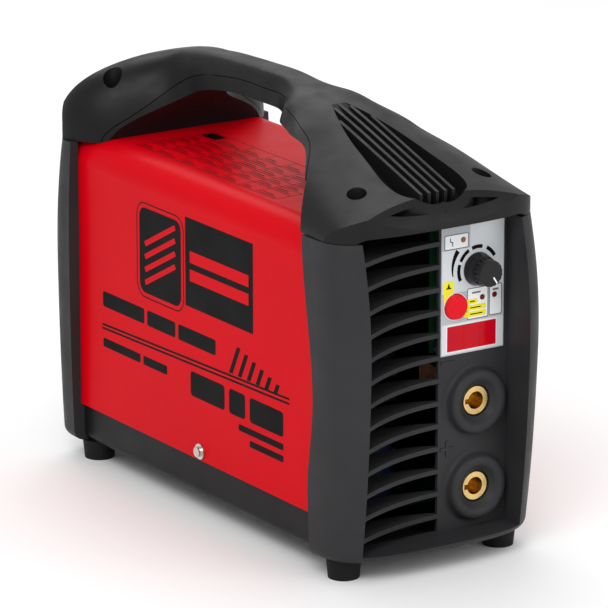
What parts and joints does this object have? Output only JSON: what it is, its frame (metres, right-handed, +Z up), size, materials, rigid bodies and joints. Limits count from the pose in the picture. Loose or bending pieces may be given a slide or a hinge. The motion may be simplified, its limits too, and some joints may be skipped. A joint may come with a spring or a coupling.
{
  "type": "portable TIG welder",
  "caption": "Portable inverter welder: red bent-sheet case between dark plastic end covers, carry handle with finned scoop, control plate with knob, welding sockets and a rear cooling fan.",
  "frame": {"origin": "on the floor under the middle of the case", "axes": "+Z up, -Y towards the front panel, X across; the control plate is on the +X side of the front"},
  "size_m": [0.184, 0.4125, 0.3298],
  "materials": {
    "front_bezel": "fine texture",
    "rear_cover": "fine texture",
    "side_cover": "gloss",
    "base_tray": "gloss",
    "rubber_feet": "matte",
    "cover_screws": "zinc plated",
    "cover_washers": "zinc plated",
    "handle_shell": "fine texture",
    "handle_liner": "fine texture",
    "handle_screws": "plain",
    "clip_nuts": "plain",
    "control_plate": "satin",
    "display_window": "gloss",
    "display_module": "fine texture",
    "control_board": "fine texture",
    "board_spacers": "fine texture",
    "potentiometer": "fine texture",
    "potentiometer_shaft": "plain",
    "control_knob": "fine texture",
    "knob_cap": "fine texture",
    "mode_button": "gloss",
    "mode_switch": "fine texture",
    "indicator_lamps": "gloss",
    "positive_socket_body": "fine texture",
    "positive_socket_insert": "bright",
    "negative_socket_body": "fine texture",
    "negative_socket_insert": "bright",
    "positive_busbar": "bright",
    "negative_busbar": "bright",
    "socket_nuts": "bright",
    "power_switch_housing": "fine texture",
    "power_rocker": "gloss",
    "cable_gland": "fine texture",
    "gland_nut": "fine texture",
    "fan_housing": "fine texture",
    "fan_rotor": "fine texture",
    "fan_screws": "plain",
    "main_board": "fine texture",
    "board_standoffs": "bright",
    "heatsink_left": "satin",
    "heatsink_right": "satin",
    "switching_transistors": "fine texture",
    "output_diodes": "fine texture",
    "transformer_core": "matte",
    "transformer_winding": "bright",
    "transformer_shelf": "satin",
    "output_choke": "bright",
    "bulk_capacitors": "gloss",
    "bridge_rectifier": "fine texture"
  },
  "bodies": {
    "frame": {"front_bezel": "front_bezel", "rear_cover": "rear_cover", "side_cover": "side_cover", "base_tray": "base_tray", "rubber_feet": "rubber_feet", "cover_screws": "cover_screws", "cover_washers": "cover_washers", "handle_shell": "handle_shell", "handle_liner": "handle_liner", "handle_screws": "handle_screws", "clip_nuts": "clip_nuts", "control_plate": "control_plate", "display_window": "display_window", "display_module": "display_module", "control_board": "control_board", "board_spacers": "board_spacers", "potentiometer": "potentiometer", "mode_switch": "mode_switch", "indicator_lamps": "indicator_lamps", "positive_socket_body": "positive_socket_body", "positive_socket_insert": "positive_socket_insert", "negative_socket_body": "negative_socket_body", "negative_socket_insert": "negative_socket_insert", "positive_busbar": "positive_busbar", "negative_busbar": "negative_busbar", "socket_nuts": "socket_nuts", "power_switch_housing": "power_switch_housing", "cable_gland": "cable_gland", "gland_nut": "gland_nut", "fan_housing": "fan_housing", "fan_screws": "fan_screws", "main_board": "main_board", "board_standoffs": "board_standoffs", "heatsink_left": "heatsink_left", "heatsink_right": "heatsink_right", "switching_transistors": "switching_transistors", "output_diodes": "output_diodes", "transformer_core": "transformer_core", "transformer_winding": "transformer_winding", "transformer_shelf": "transformer_shelf", "output_choke": "output_choke", "bulk_capacitors": "bulk_capacitors", "bridge_rectifier": "bridge_rectifier"},
    "knob": {"potentiometer_shaft": "potentiometer_shaft", "control_knob": "control_knob", "knob_cap": "knob_cap"},
    "button": {"mode_button": "mode_button"},
    "rocker": {"power_rocker": "power_rocker"},
    "rotor": {"fan_rotor": "fan_rotor"}
  },
  "joints": [
    {"name": "knob_turn", "type": "hinge", "parent": "frame", "child": "knob", "pos_m": [0.0427, -0.176, 0.2146], "axis": [0, 1, 0], "range_deg": [-140, 140]},
    {"name": "mode_button_press", "type": "slide", "parent": "frame", "child": "button", "axis": [0, 1, 0], "range_m": [0, 0.0012], "stiffness_N_per_m": 300},
    {"name": "power_rocker_tip", "type": "hinge", "parent": "frame", "child": "rocker", "pos_m": [-0.033, 0.193, 0.205], "axis": [1, 0, 0], "range_deg": [0, 24]},
    {"name": "fan_spin", "type": "hinge", "parent": "frame", "child": "rotor", "pos_m": [0, 0.176, 0.105], "axis": [0, 1, 0], "continuous": true}
  ]
}
